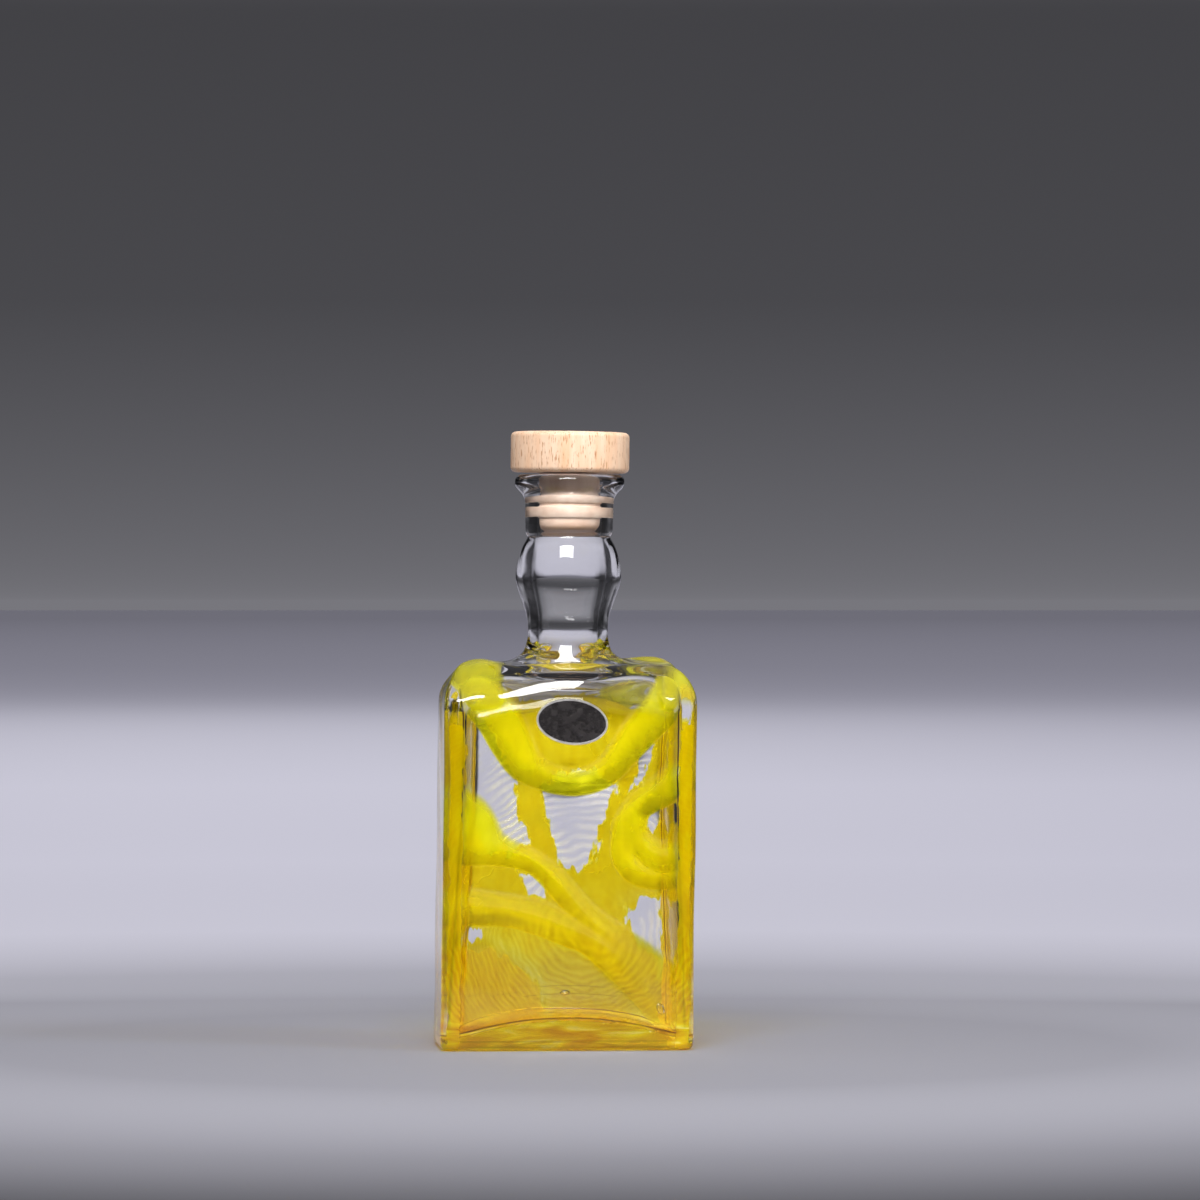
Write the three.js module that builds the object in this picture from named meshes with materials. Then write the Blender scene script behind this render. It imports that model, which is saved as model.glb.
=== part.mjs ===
// Hand-blown rectangular decanter of thick clear glass with a turned wooden stopper.
// Millimetres, +Z up, standing on z = 0, front face towards -Y.
import * as THREE from 'three';

// Glass body, outside
const BODY_WIDTH = 109.6;
const BODY_DEPTH = 65;
const BODY_CORNER = 5;
const BASE_EDGE = 2;
const RIM_WIDTH = 9;
const PUSH_UP = 2.5;
const SHOULDER_TOP = 166.2;
const SHOULDER_RISE = 17;
const SHOULDER_REACH_X = 15.5;
const SHOULDER_REACH_Y = 11;
const SHOULDER_CORNER = 15;
const SHOULDER_BOW = { share: 0.42, from: SHOULDER_TOP - SHOULDER_RISE, to: 163.5 };
const LEAN = THREE.MathUtils.degToRad(0.75);

// Rope-like rises where the coloured trails cross the shoulders: place, length, width and height
const SHOULDER_ROPES = [
  { x: -42, y: -11, along: 16, across: 10, rise: 1.4 },
  { x: 38, y: 12, along: 10, across: 15, rise: 3.2 },
];

// Glass body, inside
const WALL_LOW = 2.8;
const WALL_HIGH = 6.6;
const WALL_HIGH_Z = 125;
const WALL_FRONT = 4.6;
const CAVITY_CORNER = 9;
const CAVITY_TOP = 159.5;
const CAVITY_ROUND = 15;
const CAVITY_BOW = { share: 0.35, from: CAVITY_TOP - CAVITY_ROUND, to: 157 };
const FLOOR_EDGE = 3;
const FLOOR_CROWN = 11;
const FLOOR_ROUND = 4;

// Neck, outside: height and radius of each named place
const FLARE_FOOT = { z: 171.2, r: 19.4 };
const WAIST = { z: 180.6, r: 17.4 };
const BULGE = { z: 205.2, r: 23.3 };
const CREASE = { z: 221.4, r: 18.5 };
const COLLAR = { z: 231, r: 19.5 };
const COLLAR_TOP = { z: 238, r: 19.5 };
const LIP_EDGE = { z: 244.4, r: 23.9 };
const LIP_TOP = { z: 248.6, r: 21.6 };

// Neck, inside: the bore swells with the bulge
const MOUTH_RADIUS = 14.2;
const MOUTH_ROUND = 0.8;
const BORE_CREASE = { z: 221.7, r: 14.4 };
const BORE_BULGE = { z: 206, r: 16.4 };
const BORE_WAIST = { z: 181, r: 13.5 };
const BORE_FOOT = { z: 171, r: 13.4 };

// Stopper
const CAP_RADIUS = 25.8;
const CAP_UNDER = 249.3;
const CAP_TOP = 267.3;
const CAP_EDGE = 2.2;
const CAP_DOME = 0.4;
const PLUG_GAP = 0.3;
const PLUG_BOTTOM = 224.4;
const PLUG_CORE = 13.2;
const PLUG_ROUND = 2.6;
const PLUG_RINGS = [
  { low: 229.4, high: 234.6 },
  { low: 235.9, high: 240.6 },
];

// Label
const LABEL_WIDTH = 31;
const LABEL_HEIGHT = 19.8;
const LABEL_Z = 141.5;
const LABEL_TURN = THREE.MathUtils.degToRad(-6.5);
const LABEL_THICKNESS = 0.25;
const LABEL_GAP = 0.3;

// Steps round a quarter of every ring, closer together where the body's corners are
const QUARTER = [
  { to: 20, steps: 3 },
  { to: 38, steps: 6 },
  { to: 90, steps: 5 },
];

const smooth = (edge0, edge1, v) => THREE.MathUtils.smoothstep(v, edge0, edge1);
const mix = THREE.MathUtils.lerp;

// Directions of all points of a ring, in radians.
function ringDirections() {
  const quarter = [];
  let from = 0;
  for (const { to, steps } of QUARTER) {
    for (let i = 0; i < steps; i += 1) {
      quarter.push(from + ((to - from) * i) / steps);
    }
    from = to;
  }
  const back = quarter.map((angle) => 180 - angle).reverse();
  const half = [...quarter, 90, ...back.slice(0, -1)];
  const whole = [...half, ...half.map((angle) => angle + 180)];
  return whole.map((angle) => THREE.MathUtils.degToRad(angle));
}

const DIRECTIONS = ringDirections();

// Distance from the centre to a rounded rectangle; a circle is one with corner = halfX = halfY.
function reach(angle, halfX, halfY, corner) {
  const c = Math.abs(Math.cos(angle));
  const s = Math.abs(Math.sin(angle));
  if (s * halfX <= c * (halfY - corner)) {
    return halfX / c;
  }
  if (c * halfY <= s * (halfX - corner)) {
    return halfY / s;
  }
  const along = (halfX - corner) * c + (halfY - corner) * s;
  const off = (halfX - corner) * s - (halfY - corner) * c;
  return along + Math.sqrt(Math.max(corner * corner - off * off, 0));
}

// One ring of points; raise(x, y) may lift single points, and bow draws the ends of the long sides in.
function ring(z, halfX, halfY, corner, raise = () => 0, bow = 0) {
  return DIRECTIONS.map((angle) => {
    const d = reach(angle, halfX, halfY, corner);
    const x = d * Math.cos(angle);
    const u = (x / halfX) ** 2;
    const y = d * Math.sin(angle) * (1 - (bow * u) / (1 + 0.25 * u));
    return new THREE.Vector3(x, y, z + raise(x, y));
  });
}

// The front and back grow rounder in plan with height.
const bowAt = ({ share, from, to }, z) => share * smooth(from, to, z);

const circle = (z, r) => ring(z, r, r, r);

// Height that the trails' ropes add on the shoulders.
function ropeRise(x, y) {
  let sum = 0;
  for (const rope of SHOULDER_ROPES) {
    const u = (x - rope.x) / rope.across;
    const v = (y - rope.y) / rope.along;
    sum += rope.rise * Math.exp(-(u * u + v * v));
  }
  return sum;
}

function underside() {
  const halfX = BODY_WIDTH / 2 - BASE_EDGE;
  const halfY = BODY_DEPTH / 2 - BASE_EDGE;
  const rings = [];
  for (const share of [0.4, 0.75, 1]) {
    const z = PUSH_UP * (1 - share * share);
    const a = (halfX - RIM_WIDTH) * share;
    const b = (halfY - RIM_WIDTH) * share;
    rings.push(ring(z, a, b, Math.min(BODY_CORNER + 6, b * 0.8)));
  }
  rings.push(ring(0, halfX, halfY, BODY_CORNER - BASE_EDGE + 1));
  return rings;
}

function outerBody() {
  const a = BODY_WIDTH / 2;
  const b = BODY_DEPTH / 2;
  const rings = [];
  for (const turn of [30, 60, 90]) {
    const t = THREE.MathUtils.degToRad(turn);
    const inset = BASE_EDGE * (1 - Math.sin(t));
    rings.push(ring(BASE_EDGE * (1 - Math.cos(t)), a - inset, b - inset, BODY_CORNER - inset / 2));
  }
  const spring = SHOULDER_TOP - SHOULDER_RISE;
  for (const share of [0.35, 0.7]) {
    rings.push(ring(mix(BASE_EDGE, spring, share), a, b, BODY_CORNER));
  }
  const steps = 9;
  for (let i = 0; i <= steps; i += 1) {
    const t = (i / steps) * (Math.PI / 2);
    const fold = 1 - Math.cos(t);
    const z = spring + SHOULDER_RISE * Math.sin(t);
    const raise = (x, y) => ropeRise(x, y) * smooth(0.3, 0.9, Math.sin(t));
    rings.push(ring(
      z,
      a - SHOULDER_REACH_X * fold,
      b - SHOULDER_REACH_Y * fold,
      mix(BODY_CORNER, SHOULDER_CORNER, fold),
      raise,
      bowAt(SHOULDER_BOW, z),
    ));
  }
  const foot = FLARE_FOOT.r;
  rings.push(ring(SHOULDER_TOP + 0.7, foot + 9, foot + 1.4, foot - 2, ropeRise, SHOULDER_BOW.share / 2));
  rings.push(ring(SHOULDER_TOP + 2, foot + 4, foot + 0.9, foot - 0.5, (x, y) => ropeRise(x, y) * 0.6));
  return rings;
}

function outerNeck() {
  const lower = new THREE.SplineCurve([
    new THREE.Vector2(FLARE_FOOT.r, FLARE_FOOT.z),
    new THREE.Vector2(FLARE_FOOT.r - 1.3, FLARE_FOOT.z + 4),
    new THREE.Vector2(WAIST.r, WAIST.z),
    new THREE.Vector2(WAIST.r + 1.1, WAIST.z + 8),
    new THREE.Vector2(BULGE.r - 1.6, BULGE.z - 7.6),
    new THREE.Vector2(BULGE.r, BULGE.z),
    new THREE.Vector2(BULGE.r - 2.3, BULGE.z + 10.5),
    new THREE.Vector2(CREASE.r, CREASE.z),
  ]);
  const upper = new THREE.SplineCurve([
    new THREE.Vector2(CREASE.r, CREASE.z),
    new THREE.Vector2(COLLAR.r - 0.2, CREASE.z + 2.4),
    new THREE.Vector2(COLLAR.r, COLLAR.z),
    new THREE.Vector2(COLLAR_TOP.r, COLLAR_TOP.z),
    new THREE.Vector2(LIP_EDGE.r - 1.5, LIP_EDGE.z - 2.6),
    new THREE.Vector2(LIP_EDGE.r, LIP_EDGE.z),
    new THREE.Vector2(LIP_TOP.r + 0.9, LIP_TOP.z - 0.7),
    new THREE.Vector2(LIP_TOP.r, LIP_TOP.z),
  ]);
  const points = [...lower.getPoints(17), ...upper.getPoints(14).slice(1)];
  return points.map((p) => circle(p.y, p.x));
}

function innerNeck() {
  const mouth = [
    new THREE.Vector2(MOUTH_RADIUS + MOUTH_ROUND, LIP_TOP.z),
    new THREE.Vector2(MOUTH_RADIUS + MOUTH_ROUND * 0.3, LIP_TOP.z - MOUTH_ROUND * 0.3),
    new THREE.Vector2(MOUTH_RADIUS, LIP_TOP.z - MOUTH_ROUND),
  ];
  const bore = new THREE.SplineCurve([
    new THREE.Vector2(BORE_CREASE.r, BORE_CREASE.z),
    new THREE.Vector2(BORE_BULGE.r - 1.1, BORE_BULGE.z + 8),
    new THREE.Vector2(BORE_BULGE.r, BORE_BULGE.z),
    new THREE.Vector2(BORE_BULGE.r - 1.9, BORE_BULGE.z - 8.5),
    new THREE.Vector2(BORE_WAIST.r + 0.5, BORE_WAIST.z + 10),
    new THREE.Vector2(BORE_WAIST.r, BORE_WAIST.z),
    new THREE.Vector2(BORE_FOOT.r, BORE_FOOT.z),
    new THREE.Vector2(BORE_FOOT.r + 0.8, BORE_FOOT.z - 4.5),
  ]);
  return [...mouth, ...bore.getPoints(12)].map((p) => circle(p.y, p.x));
}

// Thickness of the glass at the ends of the body, which thins towards the base.
const endWall = (z) => mix(WALL_LOW, WALL_HIGH, smooth(0, WALL_HIGH_Z, z));

// The floor inside is crowned: highest in the middle, low in the four corners.
function crown(x, y) {
  const u = x / (BODY_WIDTH / 2 - WALL_LOW);
  const v = y / (BODY_DEPTH / 2 - WALL_FRONT);
  return FLOOR_CROWN * (1 - u * u) * (1 - 0.22 * v * v);
}

function cavity() {
  const halfX = (z) => BODY_WIDTH / 2 - endWall(z);
  const halfY = BODY_DEPTH / 2 - WALL_FRONT;
  const rings = [];
  const mouth = BORE_FOOT.r;
  rings.push(ring(CAVITY_TOP + 2.8, mouth + 4, mouth + 2.4, mouth + 1.6));
  rings.push(ring(CAVITY_TOP + 0.9, mouth + 10.6, mouth + 3.6, mouth + 0.6));
  const spring = CAVITY_TOP - CAVITY_ROUND;
  const steps = 7;
  for (let i = steps; i >= 0; i -= 1) {
    const t = (i / steps) * (Math.PI / 2);
    const fold = 1 - Math.cos(t);
    const z = spring + CAVITY_ROUND * Math.sin(t);
    rings.push(ring(
      z,
      halfX(spring) - CAVITY_ROUND * fold,
      halfY - (CAVITY_ROUND - 5) * fold,
      mix(CAVITY_CORNER, CAVITY_CORNER + 3, fold),
      () => 0,
      bowAt(CAVITY_BOW, z),
    ));
  }
  const low = FLOOR_EDGE + FLOOR_ROUND;
  for (const share of [0.2, 0.4, 0.6, 0.78, 0.92]) {
    const z = mix(spring, low, share);
    const part = smooth(0.5, 1, share);
    rings.push(ring(z, halfX(z), halfY, CAVITY_CORNER, (x, y) => crown(x, y) * part));
  }
  for (const turn of [0, 30, 60, 90]) {
    const t = THREE.MathUtils.degToRad(turn);
    const inset = FLOOR_ROUND * (1 - Math.cos(t));
    const z = low - FLOOR_ROUND * Math.sin(t);
    rings.push(ring(z, halfX(low) - inset, halfY - inset, CAVITY_CORNER - inset / 2, crown));
  }
  for (const share of [0.75, 0.5, 0.25]) {
    const a = (halfX(low) - FLOOR_ROUND) * share;
    const b = (halfY - FLOOR_ROUND) * share;
    rings.push(ring(FLOOR_EDGE, a, b, Math.min(CAVITY_CORNER, b * 0.7), crown));
  }
  return rings;
}

// Closed skin through rings of equal count, ended by a point at each end.
function loft(start, rings, end) {
  const count = DIRECTIONS.length;
  const points = [start, ...rings.flat(), end];
  const index = [];
  const at = (row, column) => 1 + row * count + (column % count);
  for (let i = 0; i < count; i += 1) {
    index.push(0, at(0, i + 1), at(0, i));
    index.push(points.length - 1, at(rings.length - 1, i), at(rings.length - 1, i + 1));
  }
  for (let row = 0; row + 1 < rings.length; row += 1) {
    for (let i = 0; i < count; i += 1) {
      index.push(at(row, i), at(row, i + 1), at(row + 1, i + 1));
      index.push(at(row, i), at(row + 1, i + 1), at(row + 1, i));
    }
  }
  const geometry = new THREE.BufferGeometry().setFromPoints(points);
  geometry.setIndex(index);
  return geometry;
}

function bottleGeometry() {
  const rings = [...underside(), ...outerBody(), ...outerNeck(), ...innerNeck(), ...cavity()];
  const start = new THREE.Vector3(0, 0, PUSH_UP);
  const end = new THREE.Vector3(0, 0, FLOOR_EDGE + FLOOR_CROWN);
  const geometry = loft(start, rings, end);
  geometry.applyMatrix4(new THREE.Matrix4().makeShear(0, 0, 0, 0, Math.tan(LEAN), 0));
  geometry.computeVertexNormals();
  return geometry;
}

// A turned piece from its outline, leaning with the bottle about the middle of the base.
function turned(path, segments) {
  const geometry = new THREE.LatheGeometry(path.getPoints(3), segments);
  geometry.rotateX(Math.PI / 2);
  geometry.rotateY(LEAN);
  return geometry;
}

function capGeometry() {
  const edge = CAP_EDGE;
  const flat = CAP_RADIUS - edge;
  const path = new THREE.Path();
  path.moveTo(0, CAP_UNDER);
  path.lineTo(flat, CAP_UNDER);
  path.absarc(flat, CAP_UNDER + edge, edge, -Math.PI / 2, 0, false);
  path.absarc(flat, CAP_TOP - CAP_DOME - edge, edge, 0, Math.PI / 2, false);
  path.quadraticCurveTo(flat * 0.5, CAP_TOP, 0, CAP_TOP);
  return turned(path, 48);
}

function plugGeometry() {
  const wide = MOUTH_RADIUS - PLUG_GAP;
  const bevel = 0.4;
  const top = CAP_UNDER - 0.3;
  const path = new THREE.Path();
  path.moveTo(0, PLUG_BOTTOM);
  path.lineTo(PLUG_CORE - PLUG_ROUND, PLUG_BOTTOM);
  path.quadraticCurveTo(PLUG_CORE - 0.4, PLUG_BOTTOM + 0.3, PLUG_CORE, PLUG_BOTTOM + PLUG_ROUND + 1.6);
  for (const { low, high } of PLUG_RINGS) {
    path.lineTo(PLUG_CORE, low);
    path.lineTo(wide - bevel, low);
    path.lineTo(wide, low + bevel);
    path.lineTo(wide, high - bevel);
    path.lineTo(wide - bevel, high);
    path.lineTo(PLUG_CORE, high);
  }
  path.lineTo(PLUG_CORE, top);
  path.lineTo(0, top);
  return turned(path, 40);
}

function labelGeometry() {
  const shape = new THREE.Shape();
  shape.absellipse(0, 0, LABEL_WIDTH / 2, LABEL_HEIGHT / 2, 0, Math.PI * 2, false, LABEL_TURN);
  const settings = { depth: LABEL_THICKNESS, bevelEnabled: false, curveSegments: 32 };
  const geometry = new THREE.ExtrudeGeometry(shape, settings);
  geometry.rotateX(Math.PI / 2);
  const x = LABEL_Z * Math.tan(LEAN);
  geometry.translate(x, -BODY_DEPTH / 2 - LABEL_GAP, LABEL_Z);
  return geometry;
}

const glass = new THREE.MeshStandardMaterial({ color: '#ddcf57', roughness: 0.05, metalness: 0 });
const beech = new THREE.MeshStandardMaterial({ color: '#e9c49a', roughness: 0.55, metalness: 0 });
const seal = new THREE.MeshStandardMaterial({ color: '#ecd6c4', roughness: 0.5, metalness: 0 });
const foil = new THREE.MeshStandardMaterial({ color: '#3c3937', roughness: 0.25, metalness: 0.9 });

const part = new THREE.Group();
part.name = 'decanter';

function add(name, geometry, material) {
  const mesh = new THREE.Mesh(geometry, material);
  mesh.name = name;
  part.add(mesh);
}

add('bottle', bottleGeometry(), glass);
add('stopper_cap', capGeometry(), beech);
add('stopper_plug', plugGeometry(), seal);
add('label', labelGeometry(), foil);

export default part;
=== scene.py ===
"""Hand-blown rectangular decanter with yellow trails, wooden stopper and a bare foil label."""
import math

import bmesh
import bpy
import numpy as np
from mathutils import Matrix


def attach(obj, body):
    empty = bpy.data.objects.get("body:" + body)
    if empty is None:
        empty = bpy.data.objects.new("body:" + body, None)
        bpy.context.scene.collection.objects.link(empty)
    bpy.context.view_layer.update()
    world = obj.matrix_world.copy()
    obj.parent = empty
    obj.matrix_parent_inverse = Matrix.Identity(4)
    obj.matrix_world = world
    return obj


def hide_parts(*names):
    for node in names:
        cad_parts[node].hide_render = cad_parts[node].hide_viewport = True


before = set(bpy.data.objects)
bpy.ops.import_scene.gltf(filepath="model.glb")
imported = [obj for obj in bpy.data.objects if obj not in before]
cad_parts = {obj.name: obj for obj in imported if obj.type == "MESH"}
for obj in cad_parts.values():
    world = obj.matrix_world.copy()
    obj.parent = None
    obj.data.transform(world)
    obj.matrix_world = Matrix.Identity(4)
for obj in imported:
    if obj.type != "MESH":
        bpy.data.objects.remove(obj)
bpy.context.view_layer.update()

bl_info = {
    "name": "Trailed Glass Decanter",
    "version": (1, 0, 0),
    "blender": (4, 5, 0),
    "location": "View3D > Sidebar > Decanter",
    "description": "Builds a hand-blown decanter with its stopper, label and studio",
    "category": "Add Mesh",
}

MM = 0.001
BODY = "root"

# Steps round a quarter of every ring of the bottle: up to this direction in degrees, so many steps.
# They are closest where the corners of the rectangular body are.
QUARTER_STEPS = ((20, 2), (38, 5), (90, 6))

# Outside of the body, in millimetres: radius of the base's edge, width of the rim that it stands on,
# and how far the middle of the underside is pushed up.
BASE_EDGE = 2.0
BASE_RIM = 9.0
PUSH_UP = 2.5

# Shoulders, in millimetres: how far they draw in at the ends and at front and back,
# and the corners' radius on top.
SHOULDER_IN_X = 15.5
SHOULDER_IN_Y = 11.0
SHOULDER_CORNER = 15.0

# How the ends of the long sides draw in: the full share, and the heights between which it grows.
SHOULDER_BOW = (0.42, 149.2, 163.5)
CAVITY_BOW = (0.35, 144.5, 157.0)

# Inside of the body, in millimetres: its top, the height of its rounding, the radius of its upright corners,
# the height and radius of the hem where wall and floor meet, and the rise of the floor's middle.
CAVITY_TOP = 159.5
CAVITY_BEND = 15.0
CAVITY_CORNER = 9.0
HEM_HEIGHT = 7.0
HEM = 4.0
FLOOR_CROWN = 11.0

# Outlines of the neck as radius and height in millimetres: outside from the foot to the crease, from there
# to the lip, inside from the lip down the mouth, and from there down to the body.
NECK = ((19.4, 171.2), (18.1, 175.2), (17.4, 180.6), (18.5, 188.6), (21.9, 197.6), (23.7, 205.2),
        (21.3, 215.7), (18.8, 220.4), (18.4, 221.4))
LIP = ((18.4, 221.4), (18.8, 222.3), (19.4, 223.8), (19.5, 231), (19.5, 237.5), (21.2, 240.6), (23.4, 242.8),
       (24.1, 245), (23.6, 247.2), (21.6, 248.6))
MOUTH = ((19, 248.6), (15, 248.6), (14.45, 248.35), (14.2, 247.8), (14.2, 240), (14.2, 232), (14.2, 226),
         (14.2, 223.5), (13.9, 221.7), (14.7, 219.6))
BORE = ((14.7, 219.6), (15.8, 213.5), (16.4, 206), (15.2, 197.5), (13.9, 191), (13.3, 181), (13.4, 171),
        (14.2, 166.5))

# Outline of the plug with its two sealing rings, from the end to the top: height and radius in millimetres.
PLUG = ((224.4, 10), (224.5, 10.9), (224.9, 11.8), (225.6, 12.5), (226.6, 12.9), (228, 13.1), (229.3, 13.2),
        (229.5, 13.9), (229.9, 14.27), (231.8, 14.28), (234.1, 14.27), (234.5, 13.8), (234.7, 13.2),
        (235.8, 13.2), (236, 13.8), (236.4, 14.27), (238.4, 14.28), (240.1, 14.27), (240.5, 13.8),
        (240.7, 13.2), (244, 13.2), (249, 13.2))

# Rise of the cap's domed top in millimetres, and the rings of faces that shape it.
CAP_DOME = 0.4
CAP_RINGS = 6

# Label, in millimetres: how far its front stands before the glass and its back sits in it, the margin
# round its border, and the step from the border down to the dark field.
LABEL_FRONT = 0.5
LABEL_BACK = 0.1
LABEL_MARGIN = 0.15
LABEL_STEP = 0.12

# Yellow trails on the front half of the inner wall: x, y, z and half-width in millimetres.
TRAILS = (
    # swag over both shoulders, hanging under the label
    ((-44, -20, 157, 9), (-42, -25, 156, 11), (-38, -28, 152, 10.8), (-31.6, -28, 144.4, 10.3),
     (-25.7, -28, 132.9, 9.3), (-19.8, -28, 123.6, 8), (-11.1, -28, 118.2, 6.5), (-1, -28, 115.7, 6),
     (7.6, -28, 116.4, 6), (15.5, -28, 120.6, 6.5), (21.9, -28, 127.8, 6.9), (29.7, -28, 137.9, 8.2),
     (38.9, -28, 147.9, 9.2), (43, -24, 156, 9), (44, -18, 157, 8)),
    # long trail falling from the left side to the lower right
    ((-49, 8, 108, 12), (-50, -10, 101, 16), (-47, -27, 95.7, 16), (-33.7, -28, 87.8, 8.2),
     (-17.8, -28, 82.3, 5.4), (-9.1, -28, 76.2, 5.6), (-1.8, -28, 68.3, 6), (7, -28, 58.2, 6.5),
     (17.2, -28, 49.5, 7.3), (28.1, -28, 40.9, 8.6), (39, -28, 31.5, 9.5), (48, -26, 24, 10),
     (52, -6, 20, 10)),
    # second trail, which runs into the first
    ((-50, 2, 62, 8), (-49, -22, 62.4, 9), (-33.4, -28, 61.2, 7.7), (-22.6, -28, 59.7, 7.3),
     (-11.7, -28, 56.8, 7.7), (-0.9, -28, 52.5, 7.7), (10, -28, 48.1, 7.7), (20.9, -28, 40.9, 9.5),
     (31.8, -28, 31.5, 10.3), (44, -28, 18, 10.3)),
    # loop at the right edge
    ((49, -14, 120, 8), (45, -27, 116, 8), (39.4, -28, 112, 7.5), (30.8, -28, 106.5, 6.5),
     (24.8, -28, 99.1, 6), (23.1, -28, 89.7, 6), (24.3, -28, 82.6, 6), (28.3, -28, 77.5, 6),
     (35.6, -28, 74.6, 5.6), (45, -28, 74.2, 5.4), (49, -16, 76, 6)),
    # fill of the loop round its clear eye
    ((29, -28, 101, 4), (30, -28, 91, 5.5), (38, -28, 83, 8), (50, -28, 83, 9)),
)

# Broad amber patch on the front at the lower left corner: x, y, z and half-width.
PATCH = ((-51, -8, 12, 26), (-46, -28, 9, 37))

# Trails that lie close under the outside where they cross the shoulders, as ropes: x, y, z and half-width.
ROPES = (
    ((-35, -32, 139, 1), (-38, -31, 148, 7), (-40, -26, 157, 10), (-42, -11, 166, 13), (-41, 8, 166, 12),
     (-40, 24, 160, 11), (-39, 31, 148, 7), (-39, 32, 140, 1)),
    ((45, -32, 143, 1), (46, -31, 150, 7), (47, -25, 156, 8), (47, -10, 162, 9), (43, 5, 167, 10),
     (35, 14, 169, 11), (27, 22, 166, 9), (24, 30, 154, 6), (24, 32, 145, 1)),
)

# Clear windows in the yellow cover of the back half: outlines in x and z, millimetres.
WINDOWS = (
    ((-46, 151), (-36, 147), (-27, 132), (-21, 114), (-18.5, 97), (-14.7, 86), (-30, 85), (-45, 103)),
    ((-8.5, 115), (8, 118), (24, 115), (20.3, 104), (18.2, 93), (15, 80), (6.7, 75.3), (-0.7, 79),
     (-2.8, 90)),
    ((41.5, 132), (38, 122), (37.5, 117), (29.8, 107), (32, 118), (35, 127)),
    ((36, 92), (37, 98.5), (40.5, 104), (46, 107), (46, 99), (42, 93)),
    ((-17.5, 73), (-12.4, 73), (-6.8, 68.7), (-6.7, 62.5), (-13.7, 65), (-16, 69)),
    ((48, 64), (37.7, 62.3), (31.2, 59), (29.8, 49.5), (33.6, 42), (40.3, 35), (48, 28)),
    ((-53, 51), (-35, 49), (-37, 44), (-53, 45)),
)

# Names of what the points of the glass remember for its material.
FIELDS = ("trail", "cover", "sag", "fade", "deep", "thin", "corner", "hem")

# Flattened air bubbles in the front wall: x, z, half-length, half-height in millimetres and tilt in degrees.
BUBBLES = ((-1.6, 24.9, 2.2, 1.2, 5), (39.9, 17.8, 1.6, 2.6, 25))

# The floor greys are painted light: painted shade close round the bottle, a painted pool of light from about
# 1 m to 4 m out, dimmer again far off.
# Greys of the floor, each at a share of the way from 0.25 m to 64 m by doublings of the distance,
# and of the surroundings, each at the square root of the sine of the height over the horizon.
FLOOR_GREYS = ((0.0, 0.26), (0.15, 0.4), (0.25, 0.7), (0.375, 0.85), (0.5, 0.85), (0.625, 0.75), (0.75, 0.6),
               (1.0, 0.42))
WORLD_GREYS = ((0.0, 0.018), (0.3, 0.014), (0.55, 0.025), (0.7, 0.22), (1.0, 0.6))
WALL_GREYS = ((0.0, 0.185), (0.124, 0.118), (0.215, 0.066), (0.3, 0.055), (0.38, 0.16), (0.5, 0.34),
              (0.65, 0.25), (1.0, 0.1))

# Height in metres that the soft lights look at.
AIM_HEIGHT = 0.13


class BottleSettings(bpy.types.PropertyGroup):
    """Sizes and colours of the blown glass."""
    body_width: bpy.props.FloatProperty(
        name="Body width", description="Width of the body from side to side", default=0.1096, unit="LENGTH")
    body_depth: bpy.props.FloatProperty(
        name="Body depth", description="Depth of the body from front to back", default=0.065, unit="LENGTH")
    body_corner: bpy.props.FloatProperty(
        name="Upright edges", description="Radius of the body's upright edges", default=0.005, unit="LENGTH")
    shoulder_top: bpy.props.FloatProperty(
        name="Shoulder height", description="Height of the shoulder over the table", default=0.1662,
        unit="LENGTH")
    shoulder_rise: bpy.props.FloatProperty(
        name="Shoulder rise", description="Height of the shoulder's rounding", default=0.017, unit="LENGTH")
    end_wall: bpy.props.FloatProperty(
        name="End wall", description="Glass thickness at the ends, high up", default=0.0066, unit="LENGTH")
    low_wall: bpy.props.FloatProperty(
        name="Low end wall", description="Glass thickness at the ends, near the base", default=0.0028,
        unit="LENGTH")
    front_wall: bpy.props.FloatProperty(
        name="Front wall", description="Glass thickness of the front and back", default=0.0046, unit="LENGTH")
    trail_height: bpy.props.FloatProperty(
        name="Trail relief", description="How far a trail swells into the inside", default=0.0005,
        unit="LENGTH")
    lean: bpy.props.FloatProperty(
        name="Lean", description="Sideways lean of the hand-blown body", default=math.radians(0.75),
        subtype="ANGLE")
    lemon: bpy.props.StringProperty(
        name="Lemon trail", description="sRGB hex colour of the front trails", default="#E8E402")
    # painted shade: colour that darkens the trails' lower edges
    shaded_low_edge: bpy.props.StringProperty(
        name="Shaded low edge", description="sRGB hex colour of the trails' thick lower edges", default="#A8A400")
    amber: bpy.props.StringProperty(
        name="Amber trail", description="sRGB hex colour of the trails on the back", default="#E4CC01")
    deep_amber: bpy.props.StringProperty(
        name="Deep amber", description="sRGB hex colour of the stain in the thick base", default="#E7C900")
    # painted shade: colour of the dark lines in the inner corners and round the hem
    fold: bpy.props.StringProperty(
        name="Painted fold shade", description="sRGB hex colour of the lines in the inner corners", default="#3A2E06")


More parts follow.
